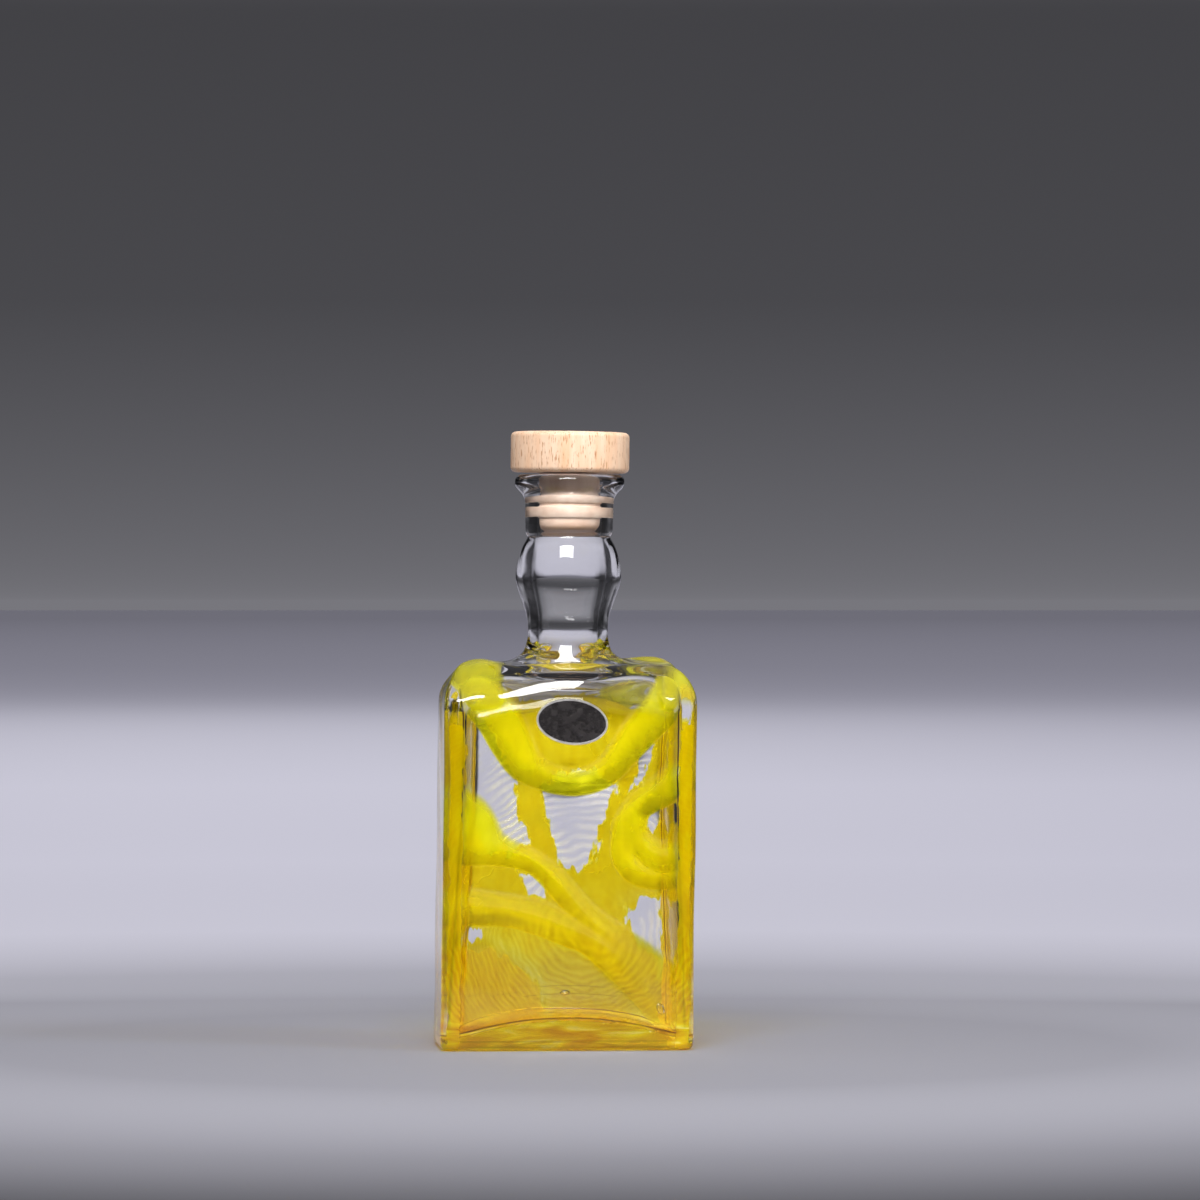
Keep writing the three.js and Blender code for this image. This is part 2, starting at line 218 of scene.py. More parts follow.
class StopperSettings(bpy.types.PropertyGroup):
    """Sizes and colours of the turned stopper."""
    cap_radius: bpy.props.FloatProperty(
        name="Cap radius", description="Radius of the wooden disc", default=0.0258, unit="LENGTH")
    cap_under: bpy.props.FloatProperty(
        name="Cap underside", description="Height of the disc's underside", default=0.2493, unit="LENGTH")
    cap_top: bpy.props.FloatProperty(
        name="Cap top", description="Height of the disc's top", default=0.2673, unit="LENGTH")
    cap_edge: bpy.props.FloatProperty(
        name="Cap edge", description="Radius of the disc's rounded edges", default=0.0022, unit="LENGTH")
    beech: bpy.props.StringProperty(
        name="Beech", description="sRGB hex colour of the wood", default="#F6D9BE")
    beech_bands: bpy.props.StringProperty(
        name="Beech bands", description="sRGB hex colour of the wood's warmer bands", default="#EFBE95")
    beech_rays: bpy.props.StringProperty(
        name="Beech rays", description="sRGB hex colour of the wood's short dark rays", default="#C08A60")
    seal: bpy.props.StringProperty(
        name="Seal", description="sRGB hex colour of the plug", default="#D9C3B2")
    seal_clouds: bpy.props.StringProperty(
        name="Seal clouds", description="sRGB hex colour of the plug's darker clouds", default="#CBAE99")
    # painted shade: colour of the plug's downward end
    seal_end_shade: bpy.props.StringProperty(
        name="Seal end shade", description="sRGB hex colour of the plug's end", default="#B08D75")


class LabelSettings(bpy.types.PropertyGroup):
    """Sizes and colours of the foil label."""
    width: bpy.props.FloatProperty(
        name="Width", description="Length of the oval", default=0.031, unit="LENGTH")
    height: bpy.props.FloatProperty(
        name="Height", description="Height of the oval", default=0.0198, unit="LENGTH")
    middle: bpy.props.FloatProperty(
        name="Middle", description="Height of the oval's middle", default=0.1415, unit="LENGTH")
    turn: bpy.props.FloatProperty(
        name="Turn", description="Turn of the oval on the face", default=math.radians(6.5), subtype="ANGLE")
    border: bpy.props.FloatProperty(
        name="Border", description="Width of the raised silver border", default=0.0007, unit="LENGTH")
    dark: bpy.props.StringProperty(
        name="Dark foil", description="sRGB hex colour of the dark field", default="#807A78")
    silver: bpy.props.StringProperty(
        name="Silver foil", description="sRGB hex colour of the border", default="#DEDBD6")


class StageSettings(bpy.types.PropertyGroup):
    """Camera, lights and floor."""
    camera_turn: bpy.props.FloatProperty(
        name="Camera turn", description="How far the camera stands to the left", default=math.radians(4.6),
        subtype="ANGLE")
    camera_distance: bpy.props.FloatProperty(
        name="Camera distance", description="From the camera to the bottle", default=2.8275, unit="LENGTH")
    camera_height: bpy.props.FloatProperty(
        name="Camera height", description="Height of the level camera", default=0.1939, unit="LENGTH")
    camera_aside: bpy.props.FloatProperty(
        name="Camera aside", description="Offset of the camera to the right", default=0.0164, unit="LENGTH")
    view_angle: bpy.props.FloatProperty(
        name="View angle", description="Field of view of the square picture", default=math.radians(10.55),
        subtype="ANGLE")
    key_power: bpy.props.FloatProperty(
        name="Key light", description="Power of the large soft light in watts", default=12.5)
    fill_power: bpy.props.FloatProperty(
        name="Fill light", description="Power of the side light in watts", default=3.0)
    floor_power: bpy.props.FloatProperty(
        name="Floor light", description="Power of the light over the floor behind in watts", default=45.0)


def linear(hex_colour):
    """Linear RGBA of an sRGB hex colour."""
    parts = [int(hex_colour[i:i + 2], 16) / 255 for i in (1, 3, 5)]
    return tuple(c / 12.92 if c <= 0.04045 else ((c + 0.055) / 1.055) ** 2.4 for c in parts) + (1.0,)


def smooth(low, high, value):
    """Soft step from 0 at low to 1 at high."""
    t = np.clip((np.asarray(value, dtype=float) - low) / (high - low), 0, 1)
    return t * t * (3 - 2 * t)


def spline(points, steps):
    """Points of a smooth curve through the given points, steps to each span."""
    pts = np.asarray(points, dtype=float)
    ends = np.vstack([2 * pts[0] - pts[1], pts, 2 * pts[-1] - pts[-2]])
    found = []
    for i in range(len(pts) - 1):
        a, b, c, d = ends[i:i + 4]
        for t in np.linspace(0, 1, steps, endpoint=False):
            found.append(0.5 * (2 * b + (c - a) * t + (2 * a - 5 * b + 4 * c - d) * t ** 2
                                + (3 * b - a - 3 * c + d) * t ** 3))
    found.append(pts[-1])
    return np.array(found)


def node(tree, kind, links=None, **settings):
    """Add a node with its settings; links maps an input to a value or to another node's output."""
    made = tree.nodes.new("ShaderNode" + kind)
    for name, value in settings.items():
        setattr(made, name, value)
    for name, value in (links or {}).items():
        if isinstance(value, bpy.types.NodeSocket):
            tree.links.new(value, made.inputs[name])
        else:
            made.inputs[name].default_value = value
    return made


def new_material(name):
    """Empty node material and its tree."""
    material = bpy.data.materials.new(name)
    material.use_nodes = True
    material.node_tree.nodes.clear()
    return material, material.node_tree


def deselect():
    """Leave edit mode and select nothing."""
    if bpy.context.mode != "OBJECT":
        bpy.ops.object.mode_set(mode="OBJECT")
    bpy.ops.object.select_all(action="DESELECT")


def select_ring(mesh, test):
    """In edit mode, select only the vertices whose place passes the test."""
    bm = bmesh.from_edit_mesh(mesh)
    for v in bm.verts:
        v.select = bool(test(v.co))
    bm.select_flush_mode()
    bmesh.update_edit_mesh(mesh)


def finish_piece(piece, name, replaced):
    """Name a piece and let it stand for its solid."""
    bpy.ops.object.mode_set(mode="OBJECT")
    piece.name = name
    piece.data.name = name
    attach(piece, BODY)
    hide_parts(replaced)


def directions():
    """Directions of a ring's points in radians, closer together at the body's corners."""
    quarter = []
    start = 0
    for end, steps in QUARTER_STEPS:
        quarter += list(np.linspace(start, end, steps, endpoint=False))
        start = end
    half = quarter + [90] + [180 - a for a in reversed(quarter)][:-1]
    return np.radians(np.array(half + [a + 180 for a in half]))


def ring(angles, z, half_x, half_y, corner, lift=None, bow=0.0):
    """Points of a rounded rectangle at height z; lift raises points, bow draws the long sides' ends in."""
    c = np.abs(np.cos(angles))
    s = np.abs(np.sin(angles))
    flat_x = half_x - corner
    flat_y = half_y - corner
    off = flat_x * s - flat_y * c
    far = flat_x * c + flat_y * s + np.sqrt(np.maximum(corner ** 2 - off ** 2, 0))
    far = np.where(s * half_x <= c * flat_y, half_x / np.maximum(c, 1e-9), far)
    far = np.where(c * half_y <= s * flat_x, half_y / np.maximum(s, 1e-9), far)
    x = far * np.cos(angles)
    y = far * np.sin(angles) * (1 - bow * (x / half_x) ** 2 / (1 + 0.25 * (x / half_x) ** 2))
    rise = lift(x, y) if lift else 0
    return np.column_stack([x, y, np.full(len(angles), float(z)) + rise])


def bow_at(z, bow):
    """Share by which the long sides' ends draw in at height z."""
    full, start, end = bow
    return full * float(smooth(start, end, z))


def rope_rise(x, y):
    """Height that the trails' ropes add on the left front and right back shoulders."""
    left = 1.4 * np.exp(-((x + 42) / 10) ** 2 - ((y + 11) / 16) ** 2)
    right = 3.2 * np.exp(-((x - 38) / 15) ** 2 - ((y - 12) / 10) ** 2)
    return left + right


def outer_rings(angles, glass):
    """Rings of the outside, from the middle of the underside to the lip."""
    a = glass.body_width / MM / 2
    b = glass.body_depth / MM / 2
    corner = glass.body_corner / MM
    top = glass.shoulder_top / MM
    rise = glass.shoulder_rise / MM
    rim_x = a - BASE_EDGE - BASE_RIM
    rim_y = b - BASE_EDGE - BASE_RIM
    rings = []
    for share in (0.08, 0.4, 0.8, 1.0):
        rings.append(ring(angles, PUSH_UP * (1 - share ** 2), rim_x * share, rim_y * share,
                          min(corner + 6, rim_y * share * 0.8)))
    rings.append(ring(angles, 0, rim_x + 1.2, rim_y + 1.2, corner + 5))
    rings.append(ring(angles, 0, a - BASE_EDGE, b - BASE_EDGE, corner - BASE_EDGE + 1))
    for turn in (30, 60, 90):
        inset = BASE_EDGE * (1 - math.sin(math.radians(turn)))
        rings.append(ring(angles, BASE_EDGE * (1 - math.cos(math.radians(turn))), a - inset, b - inset,
                          corner - inset / 2))
    spring = top - rise
    for share in (0.06, 0.25, 0.45, 0.65, 0.85, 0.94):
        rings.append(ring(angles, BASE_EDGE + (spring - BASE_EDGE) * share, a, b, corner))
    for t in np.linspace(0, math.pi / 2, 10):
        z = spring + rise * math.sin(t)
        fold = 1 - math.cos(t)
        grown = float(smooth(0.3, 0.9, math.sin(t)))
        rings.append(ring(angles, z, a - SHOULDER_IN_X * fold, b - SHOULDER_IN_Y * fold,
                          corner + (SHOULDER_CORNER - corner) * fold,
                          lambda x, y, g=grown: rope_rise(x, y) * g, bow_at(z, SHOULDER_BOW)))
    # two rings lead from the flat rectangle into the round foot of the neck
    rings.append(ring(angles, top + 0.7, 28.4, 20.8, 17.4, rope_rise, SHOULDER_BOW[0] / 2))
    rings.append(ring(angles, top + 2, 23.4, 20.3, 18.9, lambda x, y: rope_rise(x, y) * 0.6))
    for r, z in np.vstack([spline(NECK, 2), spline(LIP, 2)[1:]]):
        rings.append(ring(angles, z, r, r, r))
    return rings


def inner_rings(angles, glass):
    """Rings of the inside, from the mouth down to the middle of the floor."""
    rings = []
    for r, z in np.vstack([np.array(MOUTH), spline(BORE, 2)[1:]]):
        rings.append(ring(angles, z, r, r, r))
    a = glass.body_width / MM / 2
    b = glass.body_depth / MM / 2 - glass.front_wall / MM
    low_wall = glass.low_wall / MM
    end_wall = glass.end_wall / MM

    def half_x(z):
        """Half of the inside's width: the ends grow thicker with the height."""
        return a - low_wall - (end_wall - low_wall) * float(smooth(0, 125, z))

    def crown(x, y):
        """Rise of the floor, highest in the middle and lowest in the corners."""
        return FLOOR_CROWN * (1 - (x / (a - low_wall)) ** 2) * (1 - 0.22 * (y / b) ** 2)

    spring = CAVITY_TOP - CAVITY_BEND
    # two rings lead from the round bore into the rectangular inside
    rings.append(ring(angles, CAVITY_TOP + 2.8, 17.4, 15.8, 15))
    rings.append(ring(angles, CAVITY_TOP + 0.9, 24, 17, 14))
    for t in np.linspace(math.pi / 2, 0, 8):
        z = spring + CAVITY_BEND * math.sin(t)
        fold = 1 - math.cos(t)
        rings.append(ring(angles, z, half_x(spring) - CAVITY_BEND * fold, b - (CAVITY_BEND - 5) * fold,
                          CAVITY_CORNER + 3 * fold, None, bow_at(z, CAVITY_BOW)))
    for share in np.linspace(0, 1, 16)[1:-1]:
        z = spring + (HEM_HEIGHT - spring) * share
        part = float(smooth(0.5, 1, share))
        rings.append(ring(angles, z, half_x(z), b, CAVITY_CORNER, lambda x, y, p=part: crown(x, y) * p))
    low_x = half_x(HEM_HEIGHT)
    for turn in (0, 30, 60, 90):
        inset = HEM * (1 - math.cos(math.radians(turn)))
        rings.append(ring(angles, HEM_HEIGHT - HEM * math.sin(math.radians(turn)), low_x - inset, b - inset,
                          CAVITY_CORNER - inset / 2, crown))
    for share in (0.85, 0.6, 0.35, 0.08):
        deep = (b - HEM) * share
        rings.append(ring(angles, HEM_HEIGHT - HEM, (low_x - HEM) * share, deep,
                          min(CAVITY_CORNER, deep * 0.7), crown))
    return rings


def loft(piece, rings, first_inner):
    """Extrude a ring of edges up the outside and down the inside, and close both ends.

    Points from the ring numbered first_inner on are marked as the inside.
    """
    mesh = piece.data
    bpy.ops.object.mode_set(mode="EDIT")
    bm = bmesh.from_edit_mesh(mesh)
    bm.verts.layers.float.new("inner")
    bmesh.update_edit_mesh(mesh)
    order = np.argsort(np.arctan2(rings[0][:, 1], rings[0][:, 0]))
    for row, points in enumerate(rings):
        if row:
            bpy.ops.mesh.extrude_edges_move()
        bm = bmesh.from_edit_mesh(mesh)
        inner = bm.verts.layers.float["inner"]
        fresh = sorted((v for v in bm.verts if v.select), key=lambda v: math.atan2(v.co.y, v.co.x))
        for v, i in zip(fresh, order):
            v.co = points[i] * MM
            v[inner] = 1.0 if row >= first_inner else 0.0
        bmesh.update_edit_mesh(mesh)
    for points in (rings[-1], rings[0]):
        height = points[:, 2].mean() * MM
        reach = np.abs(points[:, :2]).max() * MM * 1.001
        flat = np.ptp(points[:, 2]) * MM + 1e-5
        select_ring(mesh, lambda co: abs(co.z - height) <= flat and max(abs(co.x), abs(co.y)) <= reach)
        bpy.ops.mesh.edge_face_add()
        bpy.ops.mesh.poke()
    bpy.ops.mesh.select_all(action="SELECT")
    bpy.ops.mesh.normals_make_consistent(inside=False)
    bpy.ops.object.mode_set(mode="OBJECT")


def trail_distance(points, trail):
    """How far each point lies inside a trail, in millimetres, negative outside."""
    line = spline(trail, 5)
    best = np.full(len(points), -60.0)
    for p, q in zip(line[:-1], line[1:]):
        run = q[:3] - p[:3]
        t = np.clip((points - p[:3]) @ run / max(run @ run, 1e-9), 0, 1)
        gap = np.linalg.norm(points - p[:3] - t[:, None] * run, axis=1)
        best = np.maximum(best, p[3] + (q[3] - p[3]) * t - gap)
    return best


def window_distance(x, z, outline):
    """How far each place on the back lies outside a window, in millimetres, negative inside."""
    closed = spline(tuple(outline) + (outline[0],), 5)
    gap = np.full(len(x), 1e9)
    crossings = np.zeros(len(x), dtype=int)
    for (x0, z0), (x1, z1) in zip(closed[:-1], closed[1:]):
        run_x = x1 - x0
        run_z = z1 - z0
        t = np.clip(((x - x0) * run_x + (z - z0) * run_z) / max(run_x ** 2 + run_z ** 2, 1e-9), 0, 1)
        gap = np.minimum(gap, np.hypot(x - x0 - t * run_x, z - z0 - t * run_z))
        spans = (z0 > z) != (z1 > z)
        safe = run_z if abs(run_z) > 1e-9 else 1e-9
        crossings += spans & (x < x0 + (z - z0) / safe * run_x)
    return np.where(crossings % 2 == 1, -gap, gap)


def deepest(points, courses):
    """How far each point lies inside the nearest of the courses."""
    found = np.full(len(points), -20.0)
    for course in courses:
        found = np.maximum(found, trail_distance(points, course))
    return found


def back_cover(points, facing):
    """How deep each inner point lies in the yellow cover; facing is 1 where the wall faces an end."""
    x, y, z = points.T
    # the windows stop at the ends
    found = np.full(len(points), 20.0)
    for outline in WINDOWS:
        found = np.minimum(found, window_distance(x, z, outline) + 40 * smooth(0.75, 0.92, facing))
    # wavy front edge, which passes all of the ends
    wrap = y + 22 + 2.5 * np.sin(z / 11 + np.sign(x)) + 1.5 * np.sin(z / 5.3 + 2 * np.sign(x))
    wrap = wrap + 40 * smooth(0.25, 0.5, facing)
    # upper edge, higher behind and in the middle
    ceiling = 2 * (147 + (6 + 5 * smooth(34, 24, np.abs(x))) * smooth(-10, 15, y) + np.sin(x / 6) - z)
    floor = 15 - 0.0035 * x ** 2 - z
    patch = trail_distance(points, PATCH)
    return np.maximum.reduce([np.minimum.reduce([found, wrap, ceiling]), floor, patch])


def outer_cover(points):
    """How deep each outer point lies in the yellow of the solid base and of the ends' back edges."""
    x, y, z = points.T
    base = 1.5 * (13.5 - 0.0035 * x ** 2 - z)
    ends = np.minimum.reduce([np.abs(x) - 47, y - 6, 140 + 3 * np.sin(y / 4) - z])
    bands = 3 * np.minimum.reduce([np.abs(x) - 46.5, 52.5 - np.abs(x), -y, 140 - z])
    return np.maximum.reduce([base, ends, bands])


def stain_fields(places, normals, inside, outside, body, shoulder):
    """What each point remembers of the stain: depths and distances in millimetres, the rest as shares."""
    count = len(places)
    x, _, z = places.T
    facing = np.abs(normals[:, 0])
    below = outside & (z < 160)
    up = np.array((0, 0, 1.0))
    fields = {"trail": np.full(count, -20.0), "cover": np.full(count, -20.0), "sag": np.zeros(count)}
    for chosen, courses in ((body, TRAILS), (shoulder, ROPES)):
        fields["trail"][chosen] = deepest(places[chosen], courses)
        fields["sag"][chosen] = (deepest(places[chosen] + up, courses)
                                 - deepest(places[chosen] - up, courses)) / 2
    fields["cover"][body] = back_cover(places[body], facing[body])
    fields["cover"][below] = outer_cover(places[below])
    # outside, the trails show on the shoulders alone
    fields["fade"] = np.where(inside, 1.0, smooth(147, 162, z))
    fields["deep"] = np.where(inside, body * smooth(0.5, 0.9, facing), 0.6 * smooth(44, 48, np.abs(x)))
    # the cover is thinner in a band round the patch
    around = np.hypot(x + 46, z - 9)
    fields["thin"] = body * smooth(36, 38, around) * (1 - smooth(41, 47, around)) * smooth(60, 40, z)
    # distances round the corner and round the hem from their folds, which place the painted shade lines, and
    # far from both elsewhere
    turned = np.arccos(np.clip(facing, 0, 1))
    tilted = np.arcsin(np.clip(normals[:, 2], -1, 1))
    fields["corner"] = np.where(body & (z > 8) & (z < 152), CAVITY_CORNER * (math.acos(0.83) - turned), 20)
    fields["hem"] = np.where(body & (z < 25), HEM * (tilted - math.asin(0.5)), 20)
    return fields


def point_values(data, name, width):
    """One value, or a row of so many, of every point."""
    values = np.empty(len(data) * width)
    data.foreach_get(name, values)
    return values.reshape(-1, width) if width > 1 else values


def paint_trails(piece, glass):
    """Store the stain on the points, swell the trails, ripple the outside and lean the bottle."""
    mesh = piece.data
    places = point_values(mesh.vertices, "co", 3) / MM
    normals = point_values(mesh.vertices, "normal", 3)
    inner = point_values(mesh.attributes["inner"].data, "value", 1)
    inside = inner > 0.5
    outside = inner < 0.5
    z = places[:, 2]
    body = inside & (z < 168)
    shoulder = outside & (z > 130) & (z < 172)
    fields = stain_fields(places, normals, inside, outside, body, shoulder)
    swell = np.maximum(smooth(-0.5, 8, fields["trail"]), 0.5 * smooth(-0.5, 8, fields["cover"]))
    places += normals * (swell * body * glass.trail_height / MM)[:, None]
    # the left rope stands out further than the right one, and both start higher on the back
    onset = np.where(places[:, 1] < 0, smooth(140, 153, z), smooth(149, 162, z))
    rope = np.where(places[:, 0] < 0, 1.3, 0.4) * smooth(0, 9, fields["trail"]) * shoulder * onset
    places += normals * rope[:, None]
    ripple = 0.1 * (np.sin(places[:, 0] / 7 + z / 15) + np.sin(z / 9 - places[:, 1] / 6)) - 0.2
    places += normals * (ripple * outside * smooth(8, 25, z))[:, None]
    places[:, 0] += places[:, 2] * math.tan(glass.lean)
    mesh.vertices.foreach_set("co", (places * MM).ravel())
    for name in FIELDS:
        layer = mesh.attributes.new(name, "FLOAT", "POINT")
        layer.data.foreach_set("value", fields[name])
    mesh.attributes.remove(mesh.attributes["inner"])
    mesh.update()


def stain_amounts(tree, place, field):
    """Noise that tears the stain, and how much of the front trails and of the cover lies at each place."""
    # drawn-out streaks, about 3 mm wide and 8 mm long, tear the edges of the cover
    drawn = node(tree, "Mapping", {"Vector": place, "Scale": (1, 1, 0.4)}).outputs[0]
    tear = node(tree, "TexNoise", {"Vector": drawn, "Scale": 300.0, "Detail": 2.0}).outputs["Fac"]
    torn = node(tree, "MapRange", {"Value": tear, "From Min": 0.3, "From Max": 0.7,
                                   "To Min": -2.3, "To Max": 2.3}, clamp=False).outputs[0]
    ragged = node(tree, "Math", {0: field["cover"], 1: torn}, operation="ADD").outputs[0]
    spread = node(tree, "MapRange", {"Value": ragged, "From Min": -0.5, "From Max": 0.9},
                  interpolation_type="SMOOTHSTEP").outputs[0]
    kept = node(tree, "MapRange", {"Value": field["thin"], "To Min": 1.0, "To Max": 0.6}).outputs[0]
    back = node(tree, "Math", {0: spread, 1: kept}, operation="MULTIPLY").outputs[0]
    # a trail thins out over 5 mm at its upper edge and ends sharply where it has sagged
    soft = node(tree, "MapRange", {"Value": field["sag"], "From Min": -0.7, "From Max": 0.3,
                                   "To Min": 5.0, "To Max": 0.9}).outputs[0]
    laid = node(tree, "MapRange", {"Value": field["trail"], "From Min": -0.6, "From Max": soft},
                interpolation_type="SMOOTHSTEP").outputs[0]
    front = node(tree, "Math", {0: laid, 1: field["fade"]}, operation="MULTIPLY").outputs[0]
    return tear, front, back


def stain_colour(tree, glass, field, front, height):
    """Lemon trails with painted shade, darker and greener, along their lower edges, amber cover, deep amber
    towards the base.
    """
    # painted shade: near the lower edge of a front trail the lemon turns to the darker shaded-low-edge colour
    low_edge = node(tree, "MapRange", {"Value": field["trail"], "From Min": 0.3, "From Max": 8.5,
                                       "To Min": 1.0, "To Max": 0.0}).outputs[0]
    down = node(tree, "MapRange", {"Value": field["sag"], "From Min": -0.5, "From Max": 0.7}).outputs[0]
    thick = node(tree, "Math", {0: low_edge, 1: down}, operation="MULTIPLY").outputs[0]
    lemon = node(tree, "Mix", {"Factor": thick, "A": linear(glass.lemon), "B": linear(glass.shaded_low_edge)},
                 data_type="RGBA").outputs["Result"]
    fresh = node(tree, "Mix", {"Factor": front, "A": linear(glass.amber), "B": lemon},
                 data_type="RGBA").outputs["Result"]
    low = node(tree, "MapRange", {"Value": height, "From Min": 0.1, "From Max": 0.02,
                                  "To Min": 0.0, "To Max": 0.9}).outputs[0]
    return node(tree, "Mix", {"Factor": low, "A": fresh, "B": linear(glass.deep_amber)},
                data_type="RGBA").outputs["Result"]


def chill_rings(tree, place, scale, distortion, detail, detail_scale):
    """Chill marks left by the mould: rings round the lower middle of the body, 0.314 / scale metres apart."""
    centred = node(tree, "Mapping", {"Vector": place, "Location": (-0.012, 0, -0.05)}).outputs[0]
    return node(tree, "TexWave", {"Vector": centred, "Scale": scale, "Distortion": distortion,
                                  "Detail": detail, "Detail Scale": detail_scale},
                wave_type="RINGS", rings_direction="SPHERICAL").outputs["Fac"]


def stain_strength(tree, place, height, tear):
    """Thickness of the stain: streaks and fine rings in the walls, level swirls in the solid base."""
    streak = node(tree, "MapRange", {"Value": tear, "From Min": 0.3, "From Max": 0.7,
                                     "To Min": 0.95, "To Max": 1.32}).outputs[0]
    # rings 1.9 mm apart, plainest low in the body
    fine = chill_rings(tree, place, scale=165.0, distortion=9.0, detail=2.0, detail_scale=0.6)
    swing = node(tree, "MapRange", {"Value": fine, "To Min": -1.0, "To Max": 1.0}).outputs[0]
    marks = node(tree, "MapRange", {"Value": height, "From Min": 0.07, "From Max": 0.035,
                                    "To Min": 0.04, "To Max": 0.26}).outputs[0]
    ringed = node(tree, "Math", {0: swing, 1: marks, 2: 1.0}, operation="MULTIPLY_ADD").outputs[0]
    walls = node(tree, "Math", {0: streak, 1: ringed}, operation="MULTIPLY").outputs[0]
    # the base runs from gold to brown in swirls about 4 mm high and 25 mm long
    level = node(tree, "Mapping", {"Vector": place, "Scale": (0.16, 0.16, 1)}).outputs[0]
    swirl = node(tree, "TexNoise", {"Vector": level, "Scale": 250.0, "Detail": 2.0,
                                    "Distortion": 0.8}).outputs["Fac"]
    rich = node(tree, "MapRange", {"Value": swirl, "From Min": 0.4, "From Max": 0.64,
                                   "To Min": 0.15, "To Max": 1.9}).outputs[0]
    solid = node(tree, "MapRange", {"Value": height, "From Min": 0.015, "From Max": 0.01}).outputs[0]
    return node(tree, "Mix", {"Factor": solid, "A": walls, "B": rich}).outputs["Result"]


def fold_shade_lines(tree, field):
    """Painted shade: thin dark lines in the upright inner corners and round the hem of the floor."""
    folds = []
    for name in ("corner", "hem"):
        away = node(tree, "Math", {0: field[name]}, operation="ABSOLUTE").outputs[0]
        folds.append(node(tree, "MapRange", {"Value": away, "From Min": 0.2, "From Max": 0.75,
                                             "To Min": 1.0, "To Max": 0.0}).outputs[0])
    return node(tree, "Math", {0: folds[0], 1: folds[1]}, operation="MAXIMUM").outputs[0]


def hidden_share(tree, field, axes, amount, stained, cloud, rings):
    """Share of the light that doesn't pass: the cloudy stain, and chill rings in the clear windows."""
    height = axes.outputs["Z"]
    # the stain is denser at the ends, where it is looked at edge on
    lifted = node(tree, "MapRange", {"Value": height, "From Min": 0.03, "From Max": 0.08,
                                     "To Min": 0.2, "To Max": 0.38}).outputs[0]
    cloudy = node(tree, "Mix", {"Factor": field["deep"], "A": lifted, "B": 0.6}).outputs["Result"]
    # the rings come and go on the back wall, below the shoulders
    patchy = node(tree, "MapRange", {"Value": cloud, "From Min": 0.38, "From Max": 0.62}).outputs[0]
    chilled = node(tree, "Math", {0: rings, 1: patchy}, operation="MULTIPLY").outputs[0]
    clear = node(tree, "Math", {0: field["fade"], 1: amount}, operation="SUBTRACT", use_clamp=True).outputs[0]
    behind = node(tree, "MapRange", {"Value": axes.outputs["Y"], "From Min": 0.005,
                                     "From Max": 0.015}).outputs[0]
    shown = node(tree, "Math", {0: clear, 1: behind}, operation="MULTIPLY").outputs[0]
    within = node(tree, "Math", {0: chilled, 1: shown}, operation="MULTIPLY").outputs[0]
    marked = node(tree, "MapRange", {"Value": height, "From Min": 0.15, "From Max": 0.13,
                                     "To Min": 0.0, "To Max": 0.3}).outputs[0]
    satin = node(tree, "Math", {0: within, 1: marked}, operation="MULTIPLY").outputs[0]
    return node(tree, "Math", {0: stained, 1: cloudy, 2: satin}, operation="MULTIPLY_ADD").outputs[0]


def trailed_glass(glass):
    """Soda-lime glass blown into a mould: clear, hard gloss outside, cloudy yellow trails under it."""
    material, tree = new_material("Blown_soda_lime_glass_with_yellow_trails")
    place = node(tree, "TexCoord").outputs["Object"]
    axes = node(tree, "SeparateXYZ", {0: place})
    height = axes.outputs["Z"]
    field = {name: node(tree, "Attribute", attribute_name=name).outputs["Fac"] for name in FIELDS}
    tear, front, back = stain_amounts(tree, place, field)
    amount = node(tree, "Math", {0: front, 1: back}, operation="MAXIMUM").outputs[0]
    # colour deepens with the thickness of the stain, as in any clear coloured glass
    yellow = stain_colour(tree, glass, field, front, height)
    strength = stain_strength(tree, place, height, tear)
    # painted shade: dark lines in the inner corners and round the hem deepen the tint and turn it towards the
    # fold colour
    fold = fold_shade_lines(tree, field)
    laid_on = node(tree, "Math", {0: amount, 1: strength}, operation="MULTIPLY").outputs[0]
    deepened = node(tree, "Math", {0: fold, 1: 4.0, 2: laid_on}, operation="MULTIPLY_ADD").outputs[0]
    clean = node(tree, "Gamma", {"Color": yellow, "Gamma": deepened}).outputs[0]
    line = node(tree, "Math", {0: fold, 1: 0.9}, operation="MULTIPLY").outputs[0]
    tint = node(tree, "Mix", {"Factor": line, "A": clean, "B": linear(glass.fold)},
                data_type="RGBA").outputs["Result"]
    # slow change of density along the trails, about 25 mm
    cloud = node(tree, "TexNoise", {"Vector": place, "Scale": 40.0, "Detail": 2.0}).outputs["Fac"]
    density = node(tree, "MapRange", {"Value": cloud, "From Min": 0.3, "From Max": 0.7,
                                      "To Min": 0.68, "To Max": 1.02}).outputs[0]
    stained = node(tree, "Math", {0: amount, 1: density}, operation="MULTIPLY").outputs[0]
    # rings 3.1 mm apart in the clear glass
    rings = chill_rings(tree, place, scale=100.0, distortion=11.0, detail=1.5, detail_scale=0.5)
    hidden = hidden_share(tree, field, axes, amount, stained, cloud, rings)
    see = node(tree, "Math", {0: 1.0, 1: hidden}, operation="SUBTRACT").outputs[0]
    veil = node(tree, "MapRange", {"Value": stained, "To Min": 0.0, "To Max": 0.1}).outputs[0]
    bump = node(tree, "Bump", {"Strength": 0.003, "Distance": 0.001, "Height": rings}).outputs[0]
    body = node(tree, "BsdfPrincipled", {
        "Base Color": tint, "Roughness": veil, "IOR": 1.5, "Transmission Weight": see, "Normal": bump})
    # light that only passes through keeps the tint
    lamps = node(tree, "BsdfTransparent", {"Color": tint})
    ray = node(tree, "LightPath").outputs["Is Shadow Ray"]
    mixed = node(tree, "MixShader", {0: ray, 1: body.outputs[0], 2: lamps.outputs[0]})
    node(tree, "OutputMaterial", {"Surface": mixed.outputs[0]})
    return material


